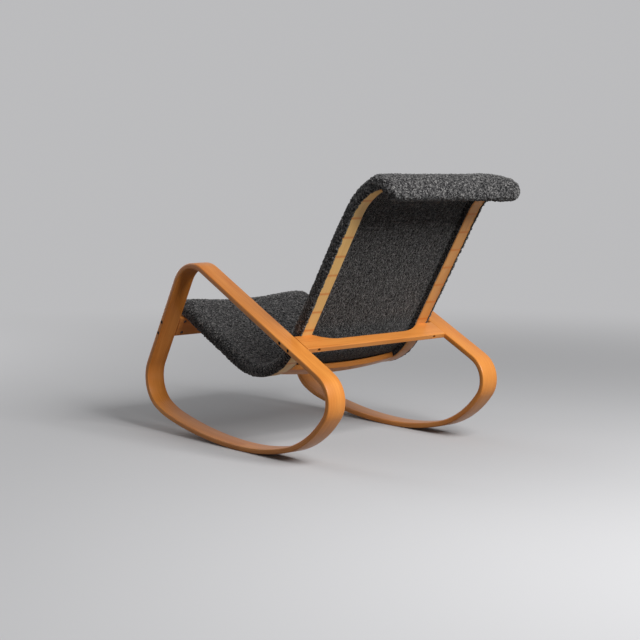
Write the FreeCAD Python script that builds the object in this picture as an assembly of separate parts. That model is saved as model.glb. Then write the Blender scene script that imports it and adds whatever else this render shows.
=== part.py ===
import FreeCAD, Part
import math
import os

# Bentwood rocking chair: two closed side loops, two crossbars, and an S-shaped seat
# frame of two rails and a bowed stretcher that carries webbing, foam and a fabric cover.
# X runs from side to side, Y from front to rear, Z up. All sizes are in millimetres.
# Side profiles are drawn with the rockers' lowest point at (0, 0) in (y, z).

# Side loops: one closed laminated ribbon each, its curves listed from the lowest point
# towards the rear and round. The arm's and the post's straight lengths close the loop.
ribbon_width = 61.0
ribbon_thickness = 16.0
ribbon_edge_radius = 3.5
rear_rocker_radius = 825.0
rear_rocker_turn = 13.4
tail_radius = 310.0
tail_turn = 38.6
rear_bend_radius = 80.0
rear_bend_turn = 97.4
arm_heel_radius = 310.0
arm_heel_turn = 4.0
arm_front_radius = 102.0
arm_front_turn = 87.5
toe_radius = 103.0
toe_turn = 90.6
toe_run_radius = 295.0
toe_run_turn = 13.9
front_rocker_radius = 1375.0

# Seat rails: the under and rear face's hip corner, its slopes and the radii that round it.
# The seat's straight run ends just in front of the front crossbar.
hip_corner_y = 49.3
hip_corner_z = 139.9
seat_slope = 26.3
back_slope = 58.5
knee_turn = 75.0
seat_past_crossbar = 1.0
back_run = 624.0
front_leg = 46.0
knee_radius = 45.0
hip_radius = 206.0
curl_radius = 165.0
curl_turn = 49.5
rail_width = 42.0
rail_thickness = 20.0
rail_edge_radius = 2.5

# Crossbars: boards in the plane of the arms and of the posts, hollowed between the rails
crossbar_width = 63.0
crossbar_edge_radius = 2.5
hollow_depth = 29.5
hollow_flat = 240.0
hollow_start_in = 1.0

# Bowed stretcher at the lowest part of the seat frame
stretcher_width = 45.0
stretcher_thickness = 17.0
stretcher_bow = 12.0
stretcher_lift = 0.5
stretcher_heading = 24.0
stretcher_edge_radius = 3.0

# Upholstery, built up from the rails' front faces
seat_width = 507.0
side_gap = 15.5
pad_thickness = 35.0
cover_thickness = 2.0
webbing_thickness = 2.0
webbing_width = 50.0
webbing_pitch = 61.5
webbing_end_inset = 4.0
first_webbing_from_knee = 36.0
lining_thickness = 1.5
lining_edge_gap = 1.0
seat_sag = 7.0
head_sag = 1.5
side_padding = 4.6
pad_edge_radius = 23.0
hem_height = 0.6
roll_drop = 3.0
layer_gap = 0.3

# Fasteners
bolt_inset = 12.0
bolt_diameter = 6.0
bolt_past_nut = 4.0
head_diameter = 10.0
head_height = 6.0
head_chamfer = 0.6
socket_width = 5.0
socket_depth = 3.0
head_recess = 7.0
head_clearance = 0.5
hole_clearance = 0.25
nut_diameter = 10.0
nut_length = 13.0
nut_setback = 22.0
nut_clearance = 0.1
thread_clearance = 0.05
rail_screw_length = 66.0
rail_screw_recess = 10.0
dowel_diameter = 8.0
dowel_length = 30.0
dowel_spacing = 24.0
dowel_clearance = 0.05
dowel_end_gap = 0.5
cut_overrun = 1.0

X = FreeCAD.Vector(1, 0, 0)


def at(x, point):
    return FreeCAD.Vector(x, point[0], point[1])


def along(heading):
    angle = math.radians(heading)
    return (math.cos(angle), math.sin(angle))


def leftward(heading):
    return along(heading + 90.0)


def moved(point, direction, distance):
    return (point[0] + direction[0] * distance, point[1] + direction[1] * distance)


def crossing(point_a, heading_a, point_b, heading_b):
    """Point where two lines in the side plane meet."""
    ay, az = along(heading_a)
    by, bz = along(heading_b)
    reach = ((point_b[0] - point_a[0]) * bz - (point_b[1] - point_a[1]) * by) / (ay * bz - az * by)
    return moved(point_a, (ay, az), reach)


class Path:
    """Chain of tangent straights and arcs in the side plane, seen from its left-hand side."""

    def __init__(self, start, heading):
        self.point, self.heading = start, heading
        self.pieces = []
        self.length = 0.0

    def straight(self, length):
        end = moved(self.point, along(self.heading), length)
        self.pieces.append(dict(radius=None, turn=0.0, start=self.point, end=end, length=length,
                                heading=self.heading, at=self.length))
        self.point = end
        self.length += length
        return self

    def arc(self, radius, turn):
        side = 1.0 if turn > 0 else -1.0
        centre = moved(self.point, leftward(self.heading), side * radius)
        end = moved(centre, leftward(self.heading + turn), -side * radius)
        length = radius * math.radians(abs(turn))
        self.pieces.append(dict(radius=radius, turn=turn, side=side, centre=centre, start=self.point,
                                end=end, length=length, heading=self.heading, at=self.length))
        self.point = end
        self.heading += turn
        self.length += length
        return self

    def part(self, begin, end):
        """Sub-pieces between two distances along the path."""
        found = []
        for piece in self.pieces:
            low, high = max(begin, piece["at"]), min(end, piece["at"] + piece["length"])
            if high - low < 1e-6:
                continue
            share = (low - piece["at"]) / piece["length"], (high - piece["at"]) / piece["length"]
            walk = Path(piece["start"], piece["heading"])
            if piece["radius"] is None:
                walk.straight(piece["length"] * share[0]) if share[0] > 0 else None
                walk.straight(high - low)
            else:
                walk.arc(piece["radius"], piece["turn"] * share[0]) if share[0] > 0 else None
                walk.arc(piece["radius"], piece["turn"] * (share[1] - share[0]))
            found.append(dict(walk.pieces[-1], at=low))
        return found

    def edges(self, x, offset):
        """Edges of the curve that lies this far to the left of the path, in the plane at x."""
        made = []
        for piece in self.pieces:
            first = leftward(piece["heading"])
            if piece["radius"] is None:
                made.append(Part.LineSegment(at(x, moved(piece["start"], first, offset)),
                                             at(x, moved(piece["end"], first, offset))).toShape())
                continue
            reach = piece["radius"] - piece["side"] * offset
            points = [moved(piece["centre"], leftward(piece["heading"] + piece["turn"] * share),
                            -piece["side"] * reach) for share in (0.0, 0.5, 1.0)]
            made.append(Part.Arc(*[at(x, point) for point in points]).toShape())
        return made


def loop_path():
    """The loop's outer outline, closed by the lengths of the arm and of the post."""
    curves = [(rear_rocker_radius, rear_rocker_turn), (tail_radius, tail_turn),
              (rear_bend_radius, rear_bend_turn), (arm_heel_radius, arm_heel_turn), "arm",
              (arm_front_radius, arm_front_turn), "post", (toe_radius, toe_turn),
              (toe_run_radius, toe_run_turn)]
    front_rocker_turn = 360.0 - sum(curve[1] for curve in curves if not isinstance(curve, str))
    curves.append((front_rocker_radius, front_rocker_turn))
    bare = Path((0.0, 0.0), 0.0)
    headings = {}
    for curve in curves:
        if isinstance(curve, str):
            headings[curve] = bare.heading
        else:
            bare.arc(*curve)
    gap = (-bare.point[0], -bare.point[1])
    arm, post = along(headings["arm"]), along(headings["post"])
    spread = arm[0] * post[1] - arm[1] * post[0]
    lengths = dict(arm=(gap[0] * post[1] - gap[1] * post[0]) / spread,
                   post=(arm[0] * gap[1] - arm[1] * gap[0]) / spread)
    path = Path((0.0, 0.0), 0.0)
    for curve in curves:
        if isinstance(curve, str):
            path.straight(lengths[curve])
        else:
            path.arc(*curve)
    return path


def rail_path():
    """Under and rear face of the seat rails, from the knee's end to the head's end."""
    hip = (hip_corner_y, hip_corner_z)
    crossbar = crossing(POST["start"], POST["heading"], hip, -seat_slope)
    seat_end = moved(crossbar, along(-seat_slope), -seat_past_crossbar)
    knee_tangent = knee_radius * math.tan(math.radians(knee_turn / 2))
    knee = moved(seat_end, along(-seat_slope), -knee_tangent)
    hip_tangent = hip_radius * math.tan(math.radians((seat_slope + back_slope) / 2))
    leg_heading = knee_turn - seat_slope
    path = Path(moved(knee, along(leg_heading), -front_leg), leg_heading)
    path.straight(front_leg - knee_tangent).arc(knee_radius, -knee_turn)
    path.straight(math.dist(hip, seat_end) - hip_tangent).arc(hip_radius, seat_slope + back_slope)
    return path.straight(back_run - hip_tangent).arc(curl_radius, -curl_turn)


LOOP = loop_path()
ARM, POST = LOOP.pieces[4], LOOP.pieces[6]
RAIL = rail_path()
SEAT, BACK = RAIL.pieces[2], RAIL.pieces[4]

loop_inner_x = seat_width / 2 + side_gap
half_width = loop_inner_x + ribbon_width
rail_outer_x = seat_width / 2 - cover_thickness - 2 * layer_gap - side_padding
rail_inner_x = rail_outer_x - rail_width
rail_centre_x = rail_outer_x - rail_width / 2
crossbar_thickness = ribbon_thickness

# The cover rolls round the rails' ends: at the knee about the middle of its own
# thickness, at the head about a line just under the rails.
roll_axis_n = pad_thickness / 2
KNEE_END = RAIL.pieces[0]
KNEE_AXIS = moved(KNEE_END["start"], leftward(KNEE_END["heading"]), roll_axis_n)
HEAD_AXIS = moved(RAIL.point, leftward(RAIL.heading), -roll_drop)

# The origin is the middle of the floor area: the foremost point is the seat's knee or the
# loops' toe, and the rearmost is the headrest roll.
TOE = LOOP.pieces[7]
front_reach = min(KNEE_AXIS[0] - roll_axis_n, TOE["centre"][0] - TOE["radius"])
rear_reach = HEAD_AXIS[0] + pad_thickness + roll_drop
TO_ORIGIN = FreeCAD.Vector(0, -(front_reach + rear_reach) / 2, 0)


def cylinder(base, direction, radius, length):
    return Part.makeCylinder(radius, length, base, direction)


def rounded(shape, radius, wanted):
    """The shape with the wanted edges rounded."""
    return shape.makeFillet(radius, [edge for edge in shape.Edges if wanted(edge)])


def runs_along_x(edge):
    span = edge.BoundBox
    return span.YLength < 1e-4 and span.ZLength < 1e-4


def in_x_plane(edge):
    return edge.BoundBox.XLength < 1e-4


def mirrored(shape):
    return shape.mirror(FreeCAD.Vector(0, 0, 0), X)


# Crossbars. Their lengthwise frame: s runs from the rails to the free edge, in the plane
# of the ribbon's outer face, and depth runs inwards from that face.
class Board:
    def __init__(self, straight, rail_piece, heading):
        self.into_loop = leftward(straight["heading"])
        self.along = along(heading)
        inner_point = moved(straight["start"], self.into_loop, crossbar_thickness)
        self.outer_top = crossing(straight["start"], heading, rail_piece["start"], rail_piece["heading"])
        self.inner_top = crossing(inner_point, heading, rail_piece["start"], rail_piece["heading"])

    def point(self, s, depth):
        return moved(moved(self.outer_top, self.along, s), self.into_loop, depth)

    def middle(self, s):
        return self.point(s, crossbar_thickness / 2)


REAR_BOARD = Board(ARM, BACK, ARM["heading"] - 180.0)
FRONT_BOARD = Board(POST, SEAT, POST["heading"])


def bolt_seat_x():
    return half_width - head_recess


def nut_x():
    return loop_inner_x - nut_setback


def bolt_length():
    return bolt_seat_x() - nut_x() + nut_diameter / 2 + bolt_past_nut


def side_loop():
    """Left-hand loop, on the +X side, with its four counterbored bolt holes."""
    outer = Part.Face(Part.Wire(LOOP.edges(loop_inner_x, 0.0)))
    inner = Part.Face(Part.Wire(LOOP.edges(loop_inner_x, ribbon_thickness)))
    ring = outer.cut(inner).extrude(X * ribbon_width)
    ring = rounded(ring, ribbon_edge_radius, in_x_plane)
    for board in (REAR_BOARD, FRONT_BOARD):
        for s in (bolt_inset, crossbar_width - bolt_inset):
            place = board.middle(s)
            ring = ring.cut(cylinder(at(loop_inner_x - cut_overrun, place), X,
                                     bolt_diameter / 2 + hole_clearance, ribbon_width + 2 * cut_overrun))
            ring = ring.cut(cylinder(at(bolt_seat_x(), place), X,
                                     head_diameter / 2 + head_clearance, head_recess + cut_overrun))
    return ring


def hollow_outline(board):
    """Hollow in the board's upper edge: a flat middle and a tangent arc up to each rail."""
    reach = rail_inner_x - hollow_start_in
    flat = hollow_flat / 2
    run = reach - flat
    radius = (run ** 2 + hollow_depth ** 2) / (2 * hollow_depth)
    half_angle = math.asin(run / radius) / 2
    bend = (flat + radius * math.sin(half_angle), hollow_depth - radius * (1 - math.cos(half_angle)))
    start = -hollow_depth

    def place(x, s):
        return at(x, board.point(s, -cut_overrun))

    points = [place(-reach, start), place(-reach, 0), place(-flat, hollow_depth),
              place(flat, hollow_depth), place(reach, 0), place(reach, start)]
    edges = [Part.LineSegment(points[0], points[1]).toShape(),
             Part.Arc(points[1], place(-bend[0], bend[1]), points[2]).toShape(),
             Part.LineSegment(points[2], points[3]).toShape(),
             Part.Arc(points[3], place(bend[0], bend[1]), points[4]).toShape(),
             Part.LineSegment(points[4], points[5]).toShape(),
             Part.LineSegment(points[5], points[0]).toShape()]
    return Part.Face(Part.Wire(edges))


def crossbar(board):
    """Board between the loops, seated on both rails, with all its bores."""
    corners = [board.outer_top, board.point(crossbar_width, 0),
               board.point(crossbar_width, crossbar_thickness), board.inner_top]
    points = [at(-loop_inner_x, corner) for corner in corners]
    bar = Part.Face(Part.makePolygon(points + points[:1])).extrude(X * (2 * loop_inner_x))
    inwards = FreeCAD.Vector(0, *board.into_loop)
    bar = bar.cut(hollow_outline(board).extrude(inwards * (crossbar_thickness + 2 * cut_overrun)))
    free_edge = [at(0, corners[1]), at(0, corners[2])]

    def on_free_edge(edge):
        if not runs_along_x(edge):
            return False
        spot = edge.Vertexes[0].Point
        return min((FreeCAD.Vector(0, spot.y, spot.z) - corner).Length for corner in free_edge) < 0.01

    bar = rounded(bar, crossbar_edge_radius, on_free_edge)
    down = FreeCAD.Vector(0, *board.along)
    for side in (-1, 1):
        for s in (bolt_inset, crossbar_width - bolt_inset):
            place = board.middle(s)
            depth = bolt_seat_x() - bolt_length() - cut_overrun
            start = at(side * depth, place)
            bar = bar.cut(cylinder(start, X * side, bolt_diameter / 2 + hole_clearance,
                                   loop_inner_x - depth + cut_overrun))
            mouth = at(side * nut_x(), board.point(s, crossbar_thickness + cut_overrun))
            deep = (crossbar_thickness + nut_length) / 2 + cut_overrun + nut_clearance
            bar = bar.cut(cylinder(mouth, -inwards, nut_diameter / 2 + nut_clearance, deep))
        bottom = at(side * rail_centre_x, board.middle(crossbar_width + cut_overrun))
        bar = bar.cut(cylinder(bottom, -down, bolt_diameter / 2 + hole_clearance,
                               crossbar_width + 2 * cut_overrun))
        bar = bar.cut(cylinder(bottom, -down, head_diameter / 2 + head_clearance,
                               rail_screw_recess + cut_overrun))
    return bar


def socket_screw(seat, direction, length):
    """Socket head screw whose head stands on the seat and whose shank runs along direction."""
    out = direction * -1
    shank = cylinder(seat, direction, bolt_diameter / 2, length)
    head = cylinder(seat, out, head_diameter / 2, head_height)
    rim = [edge for edge in head.Edges if (edge.CenterOfMass - seat).Length > head_height * 0.9]
    head = head.makeChamfer(head_chamfer, rim)
    corners = []
    upright = abs(direction.x) < 0.5
    side_a = FreeCAD.Vector(0, -direction.z, direction.y) if upright else FreeCAD.Vector(0, 1, 0)
    side_a.normalize()
    side_b = direction.cross(side_a)
    top = seat + out * (head_height - socket_depth)
    for step in range(7):
        turn = math.radians(60 * step)
        reach = socket_width / 2 / math.cos(math.radians(30))
        corners.append(top + side_a * (reach * math.cos(turn)) + side_b * (reach * math.sin(turn)))
    socket = Part.Face(Part.makePolygon(corners)).extrude(out * (socket_depth + cut_overrun))
    return head.cut(socket).fuse(shank).removeSplitter()


def frame_bolts():
    made = []
    for board in (REAR_BOARD, FRONT_BOARD):
        for s in (bolt_inset, crossbar_width - bolt_inset):
            for side in (-1, 1):
                seat = at(side * bolt_seat_x(), board.middle(s))
                made.append(socket_screw(seat, X * -side, bolt_length()))
    return Part.makeCompound(made)


def barrel_nuts():
    made = []
    for board in (REAR_BOARD, FRONT_BOARD):
        inwards = FreeCAD.Vector(0, *board.into_loop)
        for s in (bolt_inset, crossbar_width - bolt_inset):
            for side in (-1, 1):
                x = side * nut_x()
                foot = at(x, board.point(s, (crossbar_thickness - nut_length) / 2))
                nut = cylinder(foot, inwards, nut_diameter / 2, nut_length)
                bore = cylinder(at(x - nut_diameter, board.middle(s)), X,
                                bolt_diameter / 2 + thread_clearance, 2 * nut_diameter)
                made.append(nut.cut(bore))
    return Part.makeCompound(made)


def rail_screws():
    made = []
    for board in (REAR_BOARD, FRONT_BOARD):
        up = FreeCAD.Vector(0, *board.along) * -1
        for side in (-1, 1):
            seat = at(side * rail_centre_x, board.middle(crossbar_width - rail_screw_recess))
            made.append(socket_screw(seat, up, rail_screw_length))
    return Part.makeCompound(made)


# The stretcher's own frame at the lowest part of the rails: a point on the rails' under
# face, with its heading.
def stretcher_station():
    hip = RAIL.pieces[3]
    walk = Path(hip["start"], hip["heading"])
    walk.arc(hip["radius"], stretcher_heading - hip["heading"])
    return walk.point, walk.heading


def stretcher_point(n, s=0.0):
    foot, heading = stretcher_station()
    return moved(moved(foot, leftward(heading), n), along(heading), s)


def bowed_band(x, bottom, top, bow, s):
    """Closed band between two equal arcs across the chair, hanging by bow at its middle."""
    def spot(px, n):
        return at(px, stretcher_point(n, s))

    edges = [Part.Arc(spot(-x, bottom), spot(0, bottom - bow), spot(x, bottom)).toShape(),
             Part.LineSegment(spot(x, bottom), spot(x, top)).toShape(),
             Part.Arc(spot(x, top), spot(0, top - bow), spot(-x, top)).toShape(),
             Part.LineSegment(spot(-x, top), spot(-x, bottom)).toShape()]
    return Part.Face(Part.Wire(edges))


def stretcher_dowel(side, s, length, radius, start_x):
    n = stretcher_lift + stretcher_thickness / 2
    return cylinder(at(side * start_x, stretcher_point(n, s)), X * side, radius, length)


def bowed_stretcher():
    heading = FreeCAD.Vector(0, *along(stretcher_station()[1]))
    band = bowed_band(rail_inner_x, stretcher_lift, stretcher_lift + stretcher_thickness,
                      stretcher_bow, -stretcher_width / 2)
    bar = band.extrude(heading * stretcher_width)
    bar = rounded(bar, stretcher_edge_radius, lambda edge: edge.BoundBox.XLength > rail_inner_x)
    bore = dowel_diameter / 2 + dowel_clearance
    for side in (-1, 1):
        for s in (-dowel_spacing / 2, dowel_spacing / 2):
            bar = bar.cut(stretcher_dowel(side, s, dowel_length, bore, rail_inner_x - dowel_length / 2))
    return bar


def stretcher_dowels():
    made = []
    for side in (-1, 1):
        for s in (-dowel_spacing / 2, dowel_spacing / 2):
            made.append(stretcher_dowel(side, s, dowel_length - 2 * dowel_end_gap, dowel_diameter / 2,
                                        rail_inner_x - dowel_length / 2 + dowel_end_gap))
    return Part.makeCompound(made)


def seat_rail():
    """Left-hand rail, on the +X side, bored for its crossbar screws and the dowels."""
    near, far = RAIL.edges(rail_inner_x, 0.0), RAIL.edges(rail_inner_x, rail_thickness)
    ends = [Part.LineSegment(near[-1].Vertexes[-1].Point, far[-1].Vertexes[-1].Point).toShape(),
            Part.LineSegment(far[0].Vertexes[0].Point, near[0].Vertexes[0].Point).toShape()]
    outline = Part.Wire(Part.sortEdges(near + far + ends)[0])
    rail = Part.Face(outline).extrude(X * rail_width)

    def at_an_end(edge):
        for point, heading in ((KNEE_END["start"], KNEE_END["heading"]), (RAIL.point, RAIL.heading)):
            inwards = FreeCAD.Vector(0, *along(heading))
            if all(abs((spot.Point - at(0, point)).dot(inwards)) < 1e-4 for spot in edge.Vertexes):
                return True
        return False

    rail = rounded(rail, rail_edge_radius, lambda edge: in_x_plane(edge) and not at_an_end(edge))
    for board in (REAR_BOARD, FRONT_BOARD):
        up = FreeCAD.Vector(0, *board.along) * -1
        start = at(rail_centre_x, board.middle(crossbar_width - rail_screw_recess))
        rail = rail.cut(cylinder(start, up, bolt_diameter / 2 + thread_clearance,
                                 rail_screw_length + cut_overrun))
    bore = dowel_diameter / 2 + dowel_clearance
    for s in (-dowel_spacing / 2, dowel_spacing / 2):
        rail = rail.cut(stretcher_dowel(1, s, dowel_length / 2, bore, rail_inner_x))
    return rail


# Upholstery sections are drawn across the chair in (x, n), where n is the height above
# the rails' under and rear face, and swept along the rails.
def section_face(pieces, start, heading):
    """Face from lines (two points) and arcs (three points) at a place on the path.

    The arcs are drawn as splines, because a shallow arc turned about a near axis would
    make a torus that crosses itself.
    """
    normal = leftward(heading)

    def place(spot):
        return at(spot[0], moved(start, normal, spot[1]))

    edges = []
    for piece in pieces:
        if math.dist(piece[0], piece[-1]) < 1e-6:
            continue
        points = [place(spot) for spot in piece]
        if len(points) == 2:
            edges.append(Part.LineSegment(*points).toShape())
        else:
            edges.append(Part.Arc(*points).toBSpline().toShape())
    return Part.Face(Part.Wire(edges))


def sag_at(distance):
    """Depth of the hollow between the rails, which fades out along the backrest."""
    share = (distance - BACK["at"]) / BACK["length"]
    return seat_sag + (head_sag - seat_sag) * min(max(share, 0.0), 1.0)


def swept(section, begin, end):
    """Solid of a section, given as a function of the sag, between two distances along the rails."""
    solids = []
    for piece in RAIL.part(begin, end):
        first, last = sag_at(piece["at"]), sag_at(piece["at"] + piece["length"])
        face = section_face(section(first), piece["start"], piece["heading"])
        if piece["radius"] is not None:
            solids.append(face.revolve(at(0, piece["centre"]), X, piece["turn"]))
        elif first == last:
            solids.append(face.extrude(FreeCAD.Vector(0, *along(piece["heading"])) * piece["length"]))
        else:
            far = section_face(section(last), piece["end"], piece["heading"])
            solids.append(Part.makeLoft([face.OuterWire, far.OuterWire], True, True))
    return fused(solids)


def fused(solids):
    if len(solids) == 1:
        return solids[0]
    return solids[0].multiFuse(solids[1:]).removeSplitter()


def sheet_section(reach, bottom, thickness, sag):
    """Sheet that lies flat on the rails and hangs between them."""
    inner, top = min(rail_inner_x, reach), bottom + thickness
    pieces = [[(-inner, bottom), (0, bottom - sag), (inner, bottom)]]
    if reach > inner:
        pieces.append([(inner, bottom), (reach, bottom)])
    pieces.append([(reach, bottom), (reach, top)])
    if reach > inner:
        pieces.append([(reach, top), (inner, top)])
    pieces.append([(inner, top), (0, top - sag), (-inner, top)])
    if reach > inner:
        pieces.append([(-inner, top), (-reach, top)])
    pieces.append([(-reach, top), (-reach, bottom)])
    if reach > inner:
        pieces.append([(-reach, bottom), (-inner, bottom)])
    return pieces


webbing_bottom = rail_thickness + layer_gap
foam_bottom = webbing_bottom + webbing_thickness + layer_gap
foam_top = pad_thickness - cover_thickness - layer_gap
foam_corner = pad_edge_radius - cover_thickness - layer_gap
foam_outer_x = seat_width / 2 - cover_thickness - layer_gap
cover_inner_x = seat_width / 2 - cover_thickness


def crown(reach, top, corner, sag, low):
    """Outline above a level, from right to left: round corners, and a middle that hangs by the sag."""
    centre_x, centre_n = reach - corner, top - corner
    first = math.asin(max(low - centre_n, 0.0) / corner)

    def spot(angle):
        return (centre_x + corner * math.cos(angle), centre_n + corner * math.sin(angle))

    right = [spot(first), spot((first + math.pi / 2) / 2), spot(math.pi / 2)]
    left = [(-x, n) for x, n in reversed(right)]
    return [right, [right[-1], (0, top - sag), left[0]], left]


def foam_section(sag):
    """Foam over the webbing, with a skirt down the outside of each rail."""
    skirt = rail_outer_x + layer_gap
    inner = rail_inner_x
    return crown(foam_outer_x, foam_top, foam_corner, sag, hem_height) + [
        [(-foam_outer_x, foam_top - foam_corner), (-foam_outer_x, hem_height)],
        [(-foam_outer_x, hem_height), (-skirt, hem_height)],
        [(-skirt, hem_height), (-skirt, foam_bottom)],
        [(-skirt, foam_bottom), (-inner, foam_bottom)],
        [(-inner, foam_bottom), (0, foam_bottom - sag), (inner, foam_bottom)],
        [(inner, foam_bottom), (skirt, foam_bottom)],
        [(skirt, foam_bottom), (skirt, hem_height)],
        [(skirt, hem_height), (foam_outer_x, hem_height)],
        [(foam_outer_x, hem_height), (foam_outer_x, foam_top - foam_corner)]]


def core_section(low, sag):
    """Full section down to a level, for the foam that fills the two rolled ends."""
    top = crown(foam_outer_x, foam_top, foam_corner, sag, low)
    right, left = top[0][0], top[-1][-1]
    return top + [[left, (left[0], low)], [(left[0], low), (right[0], low)], [(right[0], low), right]]


def skin_section(low, sag):
    """The cover's section: the outer outline less the foam's, open below."""
    outside = crown(seat_width / 2, pad_thickness, pad_edge_radius, sag, low)
    inside = crown(cover_inner_x, pad_thickness - cover_thickness, pad_edge_radius - cover_thickness,
                   sag, low)
    right, left = outside[0][0], outside[-1][-1]
    inner_right, inner_left = inside[0][0], inside[-1][-1]
    back = [list(reversed(piece)) for piece in reversed(inside)]
    return outside + [[left, (left[0], low)], [(left[0], low), (inner_left[0], low)],
                      [(inner_left[0], low), inner_left]] + back + [
        [inner_right, (inner_right[0], low)], [(inner_right[0], low), (right[0], low)],
        [(right[0], low), right]]


def rolled(pieces, point, heading, axis, turn):
    """Section at an end of the rails, turned about an axis across the chair."""
    return section_face(pieces, point, heading).revolve(at(0, axis), X, turn)


def at_knee(section):
    start = KNEE_END["start"]
    return rolled(section(roll_axis_n, seat_sag), start, KNEE_END["heading"], KNEE_AXIS, 180.0)


def at_head(section):
    return rolled(section(-roll_drop, head_sag), RAIL.point, RAIL.heading, HEAD_AXIS, -180.0)


def foam_pad():
    return fused([swept(foam_section, 0, RAIL.length), at_head(core_section), at_knee(core_section)])


def roll_back():
    """Plate of cover that closes the headrest roll below and behind the rails' ends."""
    level = -2 * roll_drop
    edge = crown(seat_width / 2, pad_thickness, pad_edge_radius, head_sag, level)
    below = [[(x, level - n) for x, n in piece] for piece in edge]
    right, left = below[0][0], below[-1][-1]
    shut = -layer_gap
    outline = below + [[left, (left[0], shut)], [(left[0], shut), (right[0], shut)],
                       [(right[0], shut), right]]
    plate = section_face(outline, RAIL.point, RAIL.heading)
    return plate.extrude(FreeCAD.Vector(0, *along(RAIL.heading)) * -cover_thickness)


def fabric_cover():
    body = swept(lambda sag: skin_section(hem_height, sag), 0, RAIL.length)
    return fused([body, at_head(skin_section), at_knee(skin_section), roll_back()])


def lining():
    """Thin cloth across the back of the webbing, from the knee to the headrest roll."""
    bottom = rail_thickness - lining_thickness - layer_gap
    reach = rail_inner_x - lining_edge_gap
    return swept(lambda sag: sheet_section(reach, bottom, lining_thickness, sag), 0, RAIL.length)


def webbing_strap(station):
    reach = rail_outer_x - webbing_end_inset
    return swept(lambda sag: sheet_section(reach, webbing_bottom, webbing_thickness, sag),
                 station - webbing_width / 2, station + webbing_width / 2)


def webbing_stations():
    count = int((RAIL.length - first_webbing_from_knee - webbing_width / 2) / webbing_pitch) + 1
    return [first_webbing_from_knee + webbing_pitch * number for number in range(count)]


def export(name, shape):
    placed = shape.copy()
    placed.translate(TO_ORIGIN)
    placed.exportStep("parts/" + name + ".step")


def main():
    os.makedirs("parts", exist_ok=True)
    loop, rail = side_loop(), seat_rail()
    export("side_loop_left", loop)
    export("side_loop_right", mirrored(loop))
    export("seat_rail_left", rail)
    export("seat_rail_right", mirrored(rail))
    export("rear_crossbar", crossbar(REAR_BOARD))
    export("front_crossbar", crossbar(FRONT_BOARD))
    export("bowed_stretcher", bowed_stretcher())
    export("frame_bolts", frame_bolts())
    export("barrel_nuts", barrel_nuts())
    export("rail_screws", rail_screws())
    export("stretcher_dowels", stretcher_dowels())
    for number, station in enumerate(webbing_stations(), start=1):
        export("webbing_strap_%02d" % number, webbing_strap(station))
    export("rear_lining", lining())
    export("foam_pad", foam_pad())
    export("fabric_cover", fabric_cover())


main()
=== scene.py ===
# %% [markdown]
# A rocking chair of bent laminated wood, dressed for a portrait. Two closed side loops are
# armrest, post and rocker in one ribbon. Two boards join them and carry an S-shaped seat
# frame, whose rails are padded on the front with a thick looped fabric.
# The CAD model is loaded first. It gives every piece's place, and the hard pieces whose
# shape is already right stay as they are and only get a better finish.

# %% Load the CAD frame
import math

import bpy
import numpy as np
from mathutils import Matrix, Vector


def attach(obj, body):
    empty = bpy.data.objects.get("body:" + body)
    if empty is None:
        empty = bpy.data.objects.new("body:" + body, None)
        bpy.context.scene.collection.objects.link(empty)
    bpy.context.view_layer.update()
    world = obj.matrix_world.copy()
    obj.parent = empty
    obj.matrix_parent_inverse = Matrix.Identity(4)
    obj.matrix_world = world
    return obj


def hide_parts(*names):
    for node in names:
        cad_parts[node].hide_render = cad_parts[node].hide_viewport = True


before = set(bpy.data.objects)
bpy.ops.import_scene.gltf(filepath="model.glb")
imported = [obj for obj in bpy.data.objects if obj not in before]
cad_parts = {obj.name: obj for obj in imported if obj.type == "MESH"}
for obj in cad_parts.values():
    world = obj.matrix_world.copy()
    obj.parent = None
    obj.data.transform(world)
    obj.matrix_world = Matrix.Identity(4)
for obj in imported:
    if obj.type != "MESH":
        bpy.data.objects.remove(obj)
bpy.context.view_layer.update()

print("CAD nodes:", len(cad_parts))

# %% [markdown]
# The chair's side view is drawn with straight runs and round bends, as a bender's template
# is. Both the loops and the seat rails are such a line with a constant section, so the line
# is worked out once as a list of runs. A heading of 0 degrees points to the chair's rear
# and 90 degrees points up. All lengths here are in metres.

# %% Straights and bends in the side view
def along(heading):
    return Vector((0, math.cos(math.radians(heading)), math.sin(math.radians(heading))))


def leftward(heading):
    return along(heading + 90)


def trace(start, heading, runs):
    """Lay straights (None, length) and bends (radius, turn) end to end."""
    point, gone, pieces = start.copy(), 0.0, []
    for radius, amount in runs:
        piece = dict(start=point.copy(), heading=heading, radius=radius, at=gone)
        if radius is None:
            piece.update(length=amount, turn=0.0, centre=None)
            point = point + along(heading) * amount
        else:
            side = math.copysign(1.0, amount)
            centre = point + leftward(heading) * side * radius
            piece.update(length=radius * math.radians(abs(amount)), turn=amount, centre=centre)
            heading += amount
            point = centre - leftward(heading) * side * radius
        piece["end"], piece["leaving"] = point.copy(), heading
        gone += piece["length"]
        pieces.append(piece)
    return pieces


def crossing(point_a, heading_a, point_b, heading_b):
    """Point where two lines of the side view meet."""
    a, b, gap = along(heading_a), along(heading_b), point_b - point_a
    return point_a + a * ((gap.y * b.z - gap.z * b.y) / (a.y * b.z - a.z * b.y))


# %% [markdown]
# The loop's bends were measured on the photograph. The armrest's and the post's straight
# lengths are not typed in: they are the two lengths that make the ribbon meet itself again.

# %% The side loop's line
RIBBON_WIDTH, RIBBON_THICKNESS = 0.061, 0.016
BEFORE_ARM = [(0.825, 13.4), (0.310, 38.6), (0.080, 97.4), (0.310, 4.0)]
ARM_FRONT = (0.102, 87.5)
AFTER_POST = [(0.103, 90.6), (0.295, 13.9)]
FRONT_ROCKER_RADIUS = 1.375

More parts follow.
